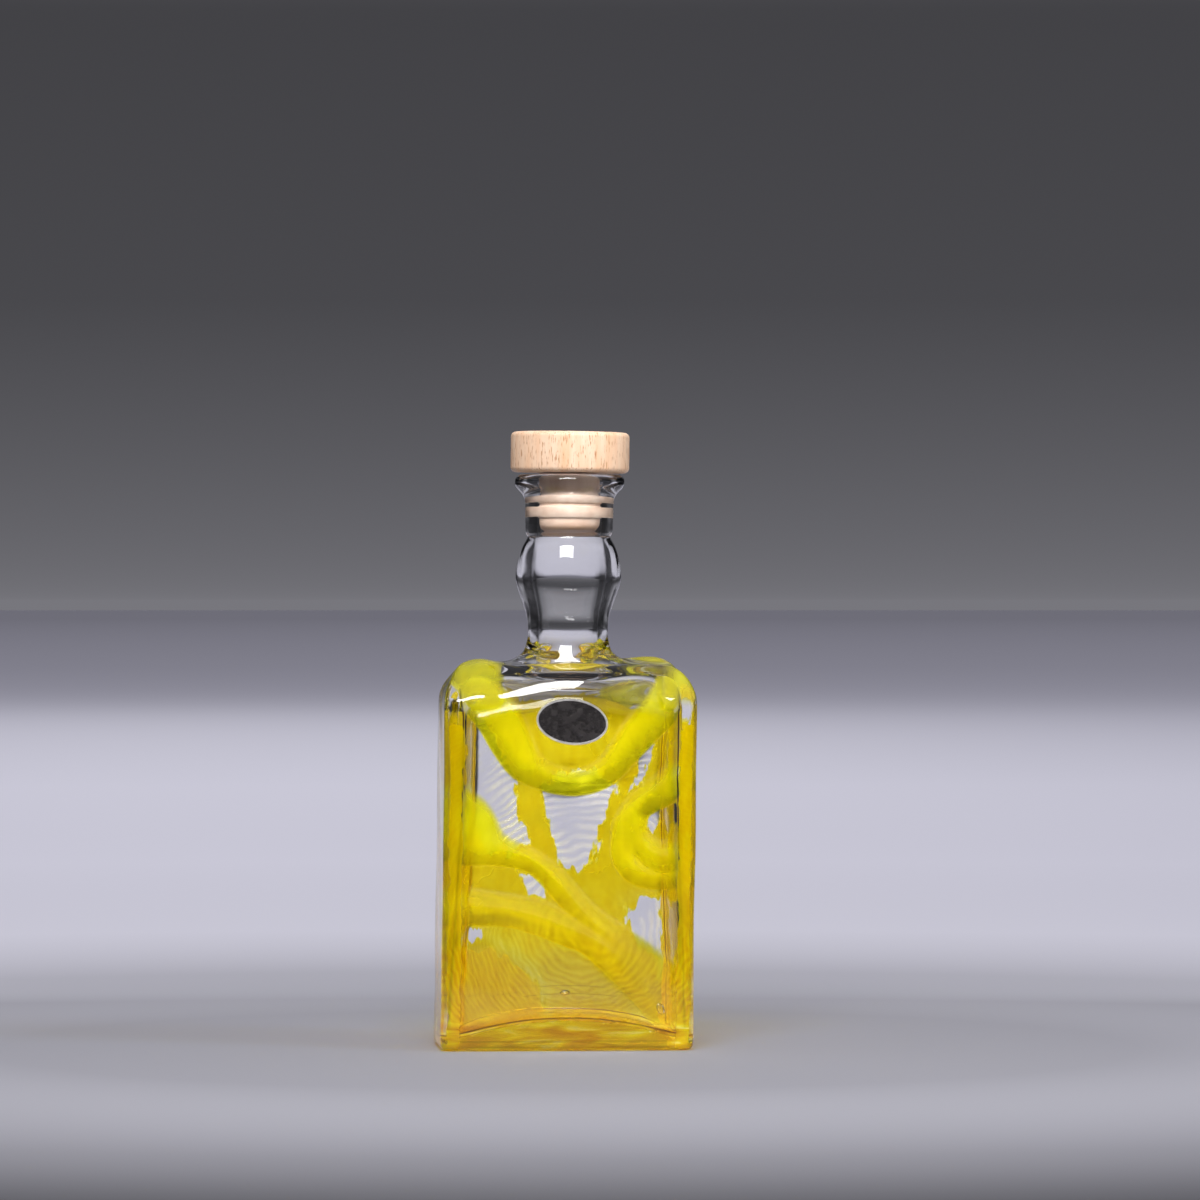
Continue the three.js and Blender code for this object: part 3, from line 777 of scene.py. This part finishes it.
def blow_bubbles(wall):
    """Add closed flattened bubbles to the active piece's front wall, their skins facing the air in them."""
    bpy.ops.object.mode_set(mode="EDIT")
    for x, z, half_length, half_height, tilt in BUBBLES:
        middle = (x * MM, wall, z * MM)
        bpy.ops.mesh.select_all(action="DESELECT")
        bpy.ops.mesh.primitive_uv_sphere_add(segments=24, ring_count=12, radius=MM, location=middle)
        bpy.ops.transform.resize(value=(half_length, 1.2, half_height), center_override=middle)
        bpy.ops.transform.rotate(value=math.radians(tilt), orient_axis="Y", center_override=middle)
        bpy.ops.mesh.normals_make_consistent(inside=True)
    bpy.ops.object.mode_set(mode="OBJECT")


class DECANTER_OT_bottle(bpy.types.Operator):
    """Blow the bottle: outside, neck, lip, inside, trails and bubbles"""
    bl_idname = "decanter.bottle"
    bl_label = "Blow Bottle"

    def execute(self, context):
        glass = context.scene.decanter_bottle
        angles = directions()
        outside = outer_rings(angles, glass)
        inside = inner_rings(angles, glass)
        deselect()
        bpy.ops.mesh.primitive_circle_add(vertices=len(angles), radius=0.02, location=(0, 0, 0))
        piece = context.active_object
        loft(piece, outside + inside, len(outside) + 4)
        bpy.ops.object.modifier_add(type="SUBSURF")
        smoothing = piece.modifiers[-1]
        smoothing.levels = 2
        smoothing.render_levels = 2
        bpy.ops.object.modifier_apply(modifier=smoothing.name)
        blow_bubbles(-(glass.body_depth - glass.front_wall) / 2)
        paint_trails(piece, glass)
        bpy.ops.object.shade_smooth()
        piece.data.materials.append(trailed_glass(glass))
        finish_piece(piece, "Bottle_glass", "bottle")
        return {"FINISHED"}


def beech_wood(stopper):
    """Beech turned across a lathe and fine sanded: pale, satin, with short dark rays along the grain."""
    material, tree = new_material("Turned_beech")
    place = node(tree, "TexCoord").outputs["Object"]
    # rays about 0.5 mm wide and 4 mm long, upright on the rim
    along = node(tree, "Mapping", {"Vector": place, "Scale": (1, 1, 0.12)}).outputs[0]
    rays = node(tree, "TexNoise", {"Vector": along, "Scale": 1900.0, "Detail": 2.0,
                                   "Roughness": 0.6}).outputs["Fac"]
    fleck = node(tree, "MapRange", {"Value": rays, "From Min": 0.575, "From Max": 0.66}).outputs[0]
    # bands of warmer wood, about 4 mm wide
    bands = node(tree, "TexNoise", {"Vector": along, "Scale": 260.0, "Detail": 3.0}).outputs["Fac"]
    warm = node(tree, "MapRange", {"Value": bands, "From Min": 0.28, "From Max": 0.76}).outputs[0]
    pale = node(tree, "Mix", {"Factor": warm, "A": linear(stopper.beech), "B": linear(stopper.beech_bands)},
                data_type="RGBA").outputs["Result"]
    wood = node(tree, "Mix", {"Factor": fleck, "A": pale, "B": linear(stopper.beech_rays)},
                data_type="RGBA").outputs["Result"]
    bump = node(tree, "Bump", {"Strength": 0.15, "Distance": 0.0002, "Height": rays}).outputs[0]
    rough = node(tree, "MapRange", {"Value": bands, "To Min": 0.42, "To Max": 0.58}).outputs[0]
    body = node(tree, "BsdfPrincipled", {"Base Color": wood, "Roughness": rough, "IOR": 1.5, "Normal": bump})
    node(tree, "OutputMaterial", {"Surface": body.outputs[0]})
    return material


def pale_seal(stopper):
    """Moulded polyethylene plug: pale cream, satin, slightly cloudy, with painted shade on its downward end.
    """
    material, tree = new_material("Moulded_polyethylene_seal")
    place = node(tree, "TexCoord").outputs["Object"]
    # clouds about 4.5 mm wide
    cloud = node(tree, "TexNoise", {"Vector": place, "Scale": 220.0, "Detail": 4.0}).outputs["Fac"]
    shade = node(tree, "MapRange", {"Value": cloud, "From Min": 0.35, "From Max": 0.7}).outputs[0]
    cream = node(tree, "Mix", {"Factor": shade, "A": linear(stopper.seal), "B": linear(stopper.seal_clouds)},
                 data_type="RGBA").outputs["Result"]
    height = node(tree, "SeparateXYZ", {0: place}).outputs["Z"]
    # painted shade: the downward end of the plug turns to the end colour over its last 4 mm
    end = node(tree, "MapRange", {"Value": height, "From Min": 0.2285, "From Max": 0.2245}).outputs[0]
    shaded_end = node(tree, "Mix", {"Factor": end, "A": cream, "B": linear(stopper.seal_end_shade)},
                data_type="RGBA").outputs["Result"]
    rough = node(tree, "MapRange", {"Value": cloud, "To Min": 0.35, "To Max": 0.5}).outputs[0]
    body = node(tree, "BsdfPrincipled", {"Base Color": shaded_end, "Roughness": rough, "IOR": 1.5})
    node(tree, "OutputMaterial", {"Surface": body.outputs[0]})
    return material


def lean_piece(piece, lean):
    """Turn a finished piece with the leaning bottle about the middle of its base, and apply the turn."""
    deselect()
    piece.select_set(True)
    bpy.context.view_layer.objects.active = piece
    piece.rotation_euler = (0, lean, 0)
    bpy.ops.object.transform_apply(location=True, rotation=True, scale=True)


class DECANTER_OT_cap(bpy.types.Operator):
    """Turn the wooden disc of the stopper"""
    bl_idname = "decanter.cap"
    bl_label = "Turn Cap"

    def execute(self, context):
        stopper = context.scene.decanter_stopper
        # the lean lifts one side of the top, so the disc is 0.02 mm lower
        height = stopper.cap_top - (CAP_DOME + 0.02) * MM - stopper.cap_under
        deselect()
        bpy.ops.mesh.primitive_cylinder_add(
            vertices=128, radius=stopper.cap_radius, depth=height,
            location=(0, 0, stopper.cap_under + height / 2))
        piece = context.active_object
        bpy.ops.object.transform_apply(location=True, rotation=True, scale=True)
        bpy.ops.object.mode_set(mode="EDIT")
        bpy.ops.mesh.select_mode(type="EDGE")
        bm = bmesh.from_edit_mesh(piece.data)
        for edge in bm.edges:
            edge.select = abs(edge.verts[0].co.z - edge.verts[1].co.z) < 1e-6
        bmesh.update_edit_mesh(piece.data)
        bpy.ops.mesh.bevel(offset=stopper.cap_edge, segments=6, affect="EDGES")
        bpy.ops.mesh.select_mode(type="FACE")
        for side in (1, -1):
            bm = bmesh.from_edit_mesh(piece.data)
            for face in bm.faces:
                face.select = face.normal.z * side > 0.999 and len(face.verts) > 8
            bmesh.update_edit_mesh(piece.data)
            for i in range(CAP_RINGS):
                bpy.ops.mesh.inset(thickness=(stopper.cap_radius - stopper.cap_edge) / (CAP_RINGS + 0.6))
                if side > 0:
                    rise = CAP_DOME * MM * (1 - 2 * (i / CAP_RINGS - 0.5)) / (CAP_RINGS + 1)
                    bpy.ops.transform.translate(value=(0, 0, rise))
            bpy.ops.mesh.poke()
        lean_piece(piece, context.scene.decanter_bottle.lean)
        bpy.ops.object.shade_smooth_by_angle(angle=math.radians(35))
        piece.data.materials.append(beech_wood(stopper))
        finish_piece(piece, "Stopper_cap_beech", "stopper_cap")
        return {"FINISHED"}


class DECANTER_OT_plug(bpy.types.Operator):
    """Mould the plug with its two sealing rings"""
    bl_idname = "decanter.plug"
    bl_label = "Mould Plug"

    def execute(self, context):
        stopper = context.scene.decanter_stopper
        deselect()
        first_z, first_r = PLUG[0]
        bpy.ops.mesh.primitive_circle_add(
            vertices=96, radius=first_r * MM, fill_type="TRIFAN", location=(0, 0, first_z * MM))
        piece = context.active_object
        bpy.ops.object.transform_apply(location=True, rotation=True, scale=True)
        bpy.ops.object.mode_set(mode="EDIT")
        bpy.ops.mesh.select_mode(type="FACE")
        bpy.ops.mesh.select_all(action="SELECT")
        for (z0, r0), (z1, r1) in zip(PLUG[:-1], PLUG[1:]):
            bpy.ops.mesh.extrude_region_move(TRANSFORM_OT_translate={"value": (0, 0, (z1 - z0) * MM)})
            bpy.ops.transform.resize(value=(r1 / r0, r1 / r0, 1), center_override=(0, 0, z1 * MM))
        bpy.ops.mesh.select_all(action="SELECT")
        bpy.ops.mesh.normals_make_consistent(inside=False)
        lean_piece(piece, context.scene.decanter_bottle.lean)
        bpy.ops.object.shade_smooth_by_angle(angle=math.radians(50))
        piece.data.materials.append(pale_seal(stopper))
        finish_piece(piece, "Stopper_plug_seal", "stopper_plug")
        return {"FINISHED"}


def label_foil(name, colour, rough_low, rough_high):
    """Hot-stamped foil on paper: mirror-like, with fine crinkles from being smoothed on by hand."""
    material, tree = new_material(name)
    place = node(tree, "TexCoord").outputs["Object"]
    # crinkles about 3 mm wide
    crinkle = node(tree, "TexNoise", {"Vector": place, "Scale": 350.0, "Detail": 4.0}).outputs["Fac"]
    rough = node(tree, "MapRange", {"Value": crinkle, "To Min": rough_low, "To Max": rough_high}).outputs[0]
    bump = node(tree, "Bump", {"Strength": 0.5, "Distance": 0.0006, "Height": crinkle}).outputs[0]
    body = node(tree, "BsdfPrincipled", {
        "Base Color": linear(colour), "Metallic": 1.0, "Roughness": rough, "Normal": bump})
    node(tree, "OutputMaterial", {"Surface": body.outputs[0]})
    return material


class DECANTER_OT_label(bpy.types.Operator):
    """Cut the oval foil label, emboss its border and stick it on the front"""
    bl_idname = "decanter.label"
    bl_label = "Stick Label"

    def execute(self, context):
        label = context.scene.decanter_label
        glass = context.scene.decanter_bottle
        face = -glass.body_depth / 2
        deselect()
        bpy.ops.mesh.primitive_circle_add(vertices=128, radius=1.0, fill_type="NGON", location=(0, 0, 0))
        piece = context.active_object
        piece.scale = (label.width / 2, label.height / 2, 1)
        bpy.ops.object.transform_apply(location=True, rotation=True, scale=True)
        piece.rotation_euler = (math.pi / 2, label.turn, 0)
        piece.location = (label.middle * math.tan(glass.lean), face + LABEL_BACK * MM, label.middle)
        bpy.ops.object.transform_apply(location=True, rotation=True, scale=True)
        bpy.ops.object.mode_set(mode="EDIT")
        bpy.ops.mesh.select_mode(type="FACE")
        bpy.ops.mesh.select_all(action="SELECT")
        bpy.ops.mesh.extrude_region_move(
            TRANSFORM_OT_translate={"value": (0, -(LABEL_FRONT + LABEL_BACK) * MM, 0)})
        bpy.ops.mesh.inset(thickness=LABEL_MARGIN * MM)
        bpy.ops.mesh.inset(thickness=label.border)
        bpy.ops.mesh.inset(thickness=LABEL_STEP * MM)
        bpy.ops.transform.translate(value=(0, LABEL_STEP * MM, 0))
        bm = bmesh.from_edit_mesh(piece.data)
        for polygon in bm.faces:
            polygon.material_index = 1 if polygon.select else 0
        bmesh.update_edit_mesh(piece.data)
        bpy.ops.mesh.select_all(action="SELECT")
        bpy.ops.mesh.normals_make_consistent(inside=False)
        bpy.ops.object.mode_set(mode="OBJECT")
        bpy.ops.object.shade_smooth_by_angle(angle=math.radians(40))
        piece.data.materials.append(label_foil("Silver_label_foil", label.silver, 0.38, 0.55))
        piece.data.materials.append(label_foil("Dark_label_foil", label.dark, 0.15, 0.4))
        finish_piece(piece, "Label_foil", "label")
        return {"FINISHED"}


def grey_ramp(tree, share, stops):
    """Ramp of near-neutral greys, each stop a place from 0 to 1 and a level."""
    ramp = node(tree, "ValToRGB", {"Fac": share})
    bar = ramp.color_ramp.elements
    while len(bar) < len(stops):
        bar.new(0.5)
    for mark, (at, level) in zip(bar, stops):
        mark.position = at
        mark.color = (level, level * 0.99, level * 1.1, 1)
    return ramp.outputs["Color"]


def floor_painted_light(turn):
    """Matt floor with painted light: a painted pool of light round the bottle and in a broad lane behind it,
    painted shade to the sides.
    """
    material, tree = new_material("Matt_floor_paint")
    place = node(tree, "TexCoord").outputs["Object"]
    far = node(tree, "VectorMath", {0: place}, operation="LENGTH").outputs["Value"]
    doublings = node(tree, "Math", {0: far, 1: 2.0}, operation="LOGARITHM").outputs[0]
    share = node(tree, "MapRange", {"Value": doublings, "From Min": -2.0, "From Max": 6.0}).outputs[0]
    paint = grey_ramp(tree, share, FLOOR_GREYS)
    behind = node(tree, "VectorMath", {0: place, 1: (math.sin(turn), math.cos(turn), 0)},
                  operation="DOT_PRODUCT").outputs["Value"]
    aside = node(tree, "VectorMath", {0: place, 1: (math.cos(turn), -math.sin(turn), 0)},
                 operation="DOT_PRODUCT").outputs["Value"]
    off = node(tree, "Math", {0: aside}, operation="ABSOLUTE").outputs[0]
    # the painted lane of light is 0.26 m to each side of the bottle and widens behind it
    width = node(tree, "Math", {0: behind, 1: 0.093, 2: 0.262}, operation="MULTIPLY_ADD").outputs[0]
    ratio = node(tree, "Math", {0: off, 1: width}, operation="DIVIDE").outputs[0]
    strip = node(tree, "MapRange", {"Value": ratio, "From Min": 2.6, "From Max": 1.05},
                 interpolation_type="SMOOTHSTEP").outputs[0]
    beyond = node(tree, "MapRange", {"Value": behind, "From Min": 0.0, "From Max": 0.4},
                  interpolation_type="SMOOTHSTEP").outputs[0]
    lane = node(tree, "Math", {0: strip, 1: beyond}, operation="MULTIPLY").outputs[0]
    near = node(tree, "MapRange", {"Value": far, "From Min": 0.25, "From Max": 0.85,
                                   "To Min": 1.0, "To Max": 0.0}, interpolation_type="SMOOTHSTEP").outputs[0]
    lit = node(tree, "Math", {0: lane, 1: near}, operation="MAXIMUM").outputs[0]
    # painted shade: near-black grey beyond the lane and away from the bottle, the painted light within them
    level = node(tree, "Mix", {"Factor": lit, "A": (0.045, 0.0446, 0.0495, 1), "B": paint},
                 data_type="RGBA").outputs["Result"]
    body = node(tree, "BsdfPrincipled", {"Base Color": level, "Roughness": 0.8, "Specular IOR Level": 0.2})
    node(tree, "OutputMaterial", {"Surface": body.outputs[0]})
    return material


def studio_world(turn):
    """Dim surroundings: a wall that darkens upwards and is lit high up, and a soft ceiling."""
    world = bpy.data.worlds.new("Studio")
    world.use_nodes = True
    tree = world.node_tree
    tree.nodes.clear()
    way = node(tree, "TexCoord").outputs["Generated"]
    up = node(tree, "SeparateXYZ", {0: way}).outputs["Z"]
    over = node(tree, "Math", {0: up, 1: 0.0}, operation="MAXIMUM").outputs[0]
    share = node(tree, "Math", {0: over}, operation="SQRT").outputs[0]
    behind = node(tree, "VectorMath", {0: way, 1: (math.sin(turn), math.cos(turn), 0)},
                  operation="DOT_PRODUCT").outputs["Value"]
    wall = node(tree, "MapRange", {"Value": behind, "From Min": 0.92, "From Max": 0.98},
                interpolation_type="SMOOTHSTEP").outputs[0]
    glow = node(tree, "Mix", {"Factor": wall, "A": grey_ramp(tree, share, WORLD_GREYS),
                              "B": grey_ramp(tree, share, WALL_GREYS)}, data_type="RGBA").outputs["Result"]
    light = node(tree, "Background", {"Color": glow, "Strength": 1.0})
    node(tree, "OutputWorld", {"Surface": light.outputs[0]})
    return world


def soft_light(name, turn, height, distance, size, power):
    """Rectangular soft light looking at the bottle; turn and height in degrees from the front."""
    lamp = bpy.data.lights.new(name, "AREA")
    lamp.shape = "RECTANGLE"
    lamp.size, lamp.size_y = size
    lamp.energy = power
    lamp.spread = math.radians(80)
    light = bpy.data.objects.new(name, lamp)
    bpy.context.scene.collection.objects.link(light)
    side = math.radians(turn)
    rise = math.radians(height)
    light.location = (distance * math.cos(rise) * math.sin(side), -distance * math.cos(rise) * math.cos(side),
                      AIM_HEIGHT + distance * math.sin(rise))
    light.rotation_euler = (math.pi / 2 - rise, 0, side)
    return light


def floor_light(power):
    """Long overhead light over the floor behind the bottle, not seen in the glass."""
    lamp = bpy.data.lights.new("Floor_light", "AREA")
    lamp.shape = "RECTANGLE"
    lamp.size, lamp.size_y = 2, 7
    lamp.energy = power
    light = bpy.data.objects.new("Floor_light", lamp)
    bpy.context.scene.collection.objects.link(light)
    light.location = (0, 5, 2.5)
    light.visible_camera = False
    light.visible_glossy = False
    light.visible_transmission = False


class DECANTER_OT_stage(bpy.types.Operator):
    """Set the floor, the soft lights and the camera"""
    bl_idname = "decanter.stage"
    bl_label = "Set Stage"

    def execute(self, context):
        stage = context.scene.decanter_stage
        deselect()
        bpy.ops.mesh.primitive_circle_add(vertices=96, radius=120, fill_type="NGON", location=(0, 0, -0.0002))
        ground = context.active_object
        ground.name = "Floor"
        ground.data.materials.append(floor_painted_light(stage.camera_turn))
        context.scene.world = studio_world(stage.camera_turn)
        soft_light("Key_softbox", turn=-10, height=42, distance=2.2, size=(1.1, 0.75), power=stage.key_power)
        fill = soft_light("Fill_softbox", turn=60, height=25, distance=1.9, size=(0.5, 1.0),
                          power=stage.fill_power)
        fill.visible_glossy = False
        fill.visible_transmission = False
        floor_light(stage.floor_power)
        turn = stage.camera_turn
        camera = bpy.data.objects.new("Camera", bpy.data.cameras.new("Camera"))
        context.scene.collection.objects.link(camera)
        camera.data.angle = stage.view_angle
        camera.location = (stage.camera_aside * math.cos(turn) - stage.camera_distance * math.sin(turn),
                           -stage.camera_aside * math.sin(turn) - stage.camera_distance * math.cos(turn),
                           stage.camera_height)
        camera.rotation_euler = (math.pi / 2, 0, -turn)
        context.scene.camera = camera
        context.scene.view_settings.view_transform = "Standard"
        cycles = context.scene.cycles
        cycles.max_bounces = 24
        cycles.transmission_bounces = 24
        cycles.transparent_max_bounces = 32
        return {"FINISHED"}


class DECANTER_PT_panel(bpy.types.Panel):
    """Buttons and sizes of the decanter"""
    bl_label = "Decanter"
    bl_idname = "DECANTER_PT_panel"
    bl_space_type = "VIEW_3D"
    bl_region_type = "UI"
    bl_category = "Decanter"

    def draw(self, context):
        for group, _, operators in GROUPS:
            column = self.layout.column()
            for operator in operators:
                column.operator(operator.bl_idname)
            settings = getattr(context.scene, group)
            for name in settings.bl_rna.properties.keys():
                if name not in ("rna_type", "name"):
                    column.prop(settings, name)


GROUPS = (
    ("decanter_bottle", BottleSettings, (DECANTER_OT_bottle,)),
    ("decanter_stopper", StopperSettings, (DECANTER_OT_cap, DECANTER_OT_plug)),
    ("decanter_label", LabelSettings, (DECANTER_OT_label,)),
    ("decanter_stage", StageSettings, (DECANTER_OT_stage,)),
)

CLASSES = (
    BottleSettings, StopperSettings, LabelSettings, StageSettings,
    DECANTER_OT_bottle, DECANTER_OT_cap, DECANTER_OT_plug, DECANTER_OT_label, DECANTER_OT_stage,
    DECANTER_PT_panel,
)


def register():
    for cls in CLASSES:
        bpy.utils.register_class(cls)
    for group, kind, _ in GROUPS:
        setattr(bpy.types.Scene, group, bpy.props.PointerProperty(type=kind))


def unregister():
    for group, _, _ in GROUPS:
        delattr(bpy.types.Scene, group)
    for cls in reversed(CLASSES):
        bpy.utils.unregister_class(cls)


def main():
    register()
    bpy.ops.decanter.stage()
    bpy.ops.decanter.bottle()
    bpy.ops.decanter.cap()
    bpy.ops.decanter.plug()
    bpy.ops.decanter.label()


if __name__ == "__main__":
    main()
